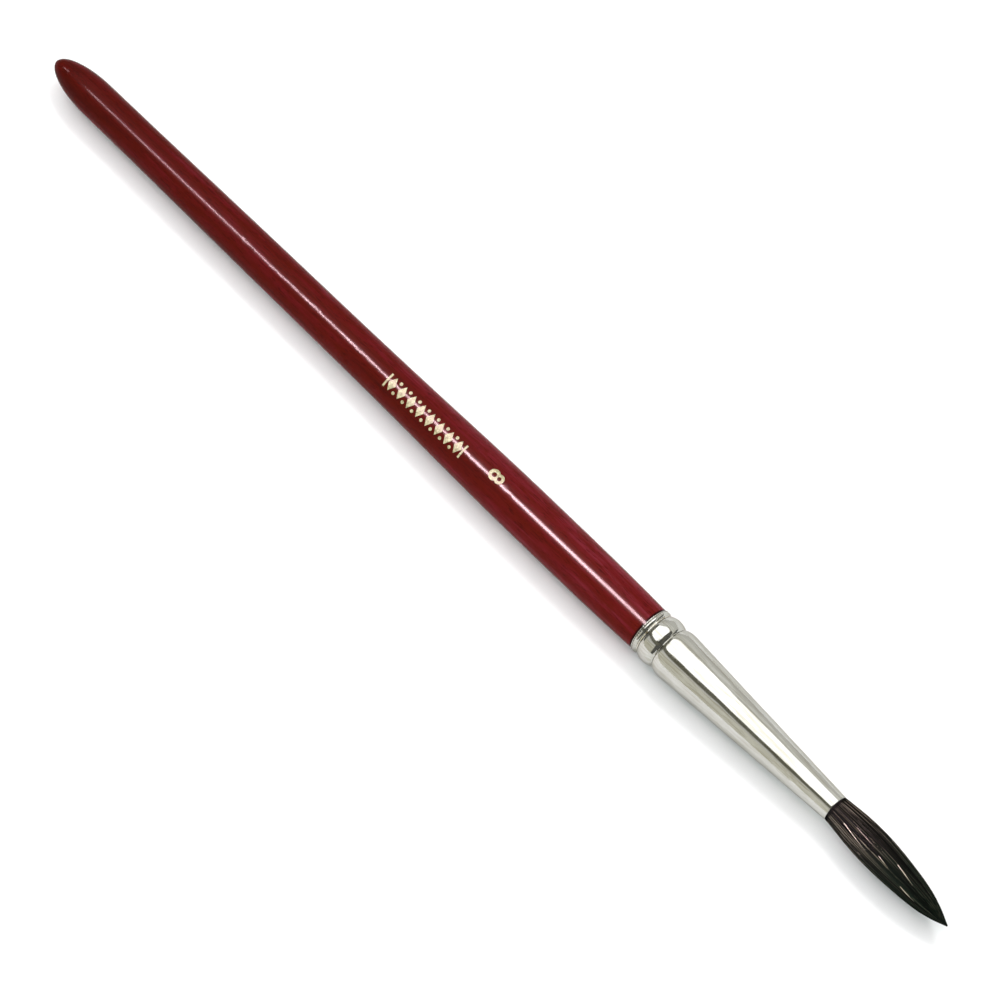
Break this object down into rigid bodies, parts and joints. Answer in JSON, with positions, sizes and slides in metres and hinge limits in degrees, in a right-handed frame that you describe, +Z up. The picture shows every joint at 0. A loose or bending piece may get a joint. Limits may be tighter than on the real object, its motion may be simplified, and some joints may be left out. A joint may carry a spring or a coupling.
{
  "type": "paint brush",
  "caption": "Round artist's paint brush: a slim lacquered wooden handle that swells before a crimped, tapered metal ferrule holding a soft pointed tuft of dark hair.",
  "frame": {"origin": "on the surface that the brush lies on, under the middle of its length and under the ferrule's collar, which is its lowest ring", "axes": "+X along the brush from the butt of the handle to the tip of the hair, +Z up"},
  "size_m": [0.205, 0.0086, 0.0086],
  "materials": {
    "wood": "fine turned hardwood",
    "red_lacquer": "deep transparent dark red gloss lacquer",
    "nickel_plate": "polished nickel plate on brass",
    "glue": "set wood glue",
    "dark_hair": "soft straight dark brown hair with a silky sheen",
    "thread": "waxed cotton thread",
    "resin": "cast amber resin",
    "gold_foil": "pale gold stamping foil, satin"
  },
  "bodies": {
    "handle": {"handle_core": "wood", "lacquer_coat": "red_lacquer", "ferrule": "nickel_plate", "tenon_glue": "glue", "hair_root": "dark_hair", "binding_thread": "thread", "resin_plug": "resin", "size_mark": "gold_foil", "foil_ornament": "gold_foil"},
    "tuft": {"hair_tuft": "dark_hair"}
  },
  "joints": [
    {"name": "tuft_flex", "type": "hinge", "parent": "handle", "child": "tuft", "pos_m": [0.0777, 0, 0.00428], "axis": [0, 0, 1], "range_deg": [-40, 40], "stiffness_Nm_per_rad": 0.0015, "deforming": ["hair_tuft"]}
  ]
}
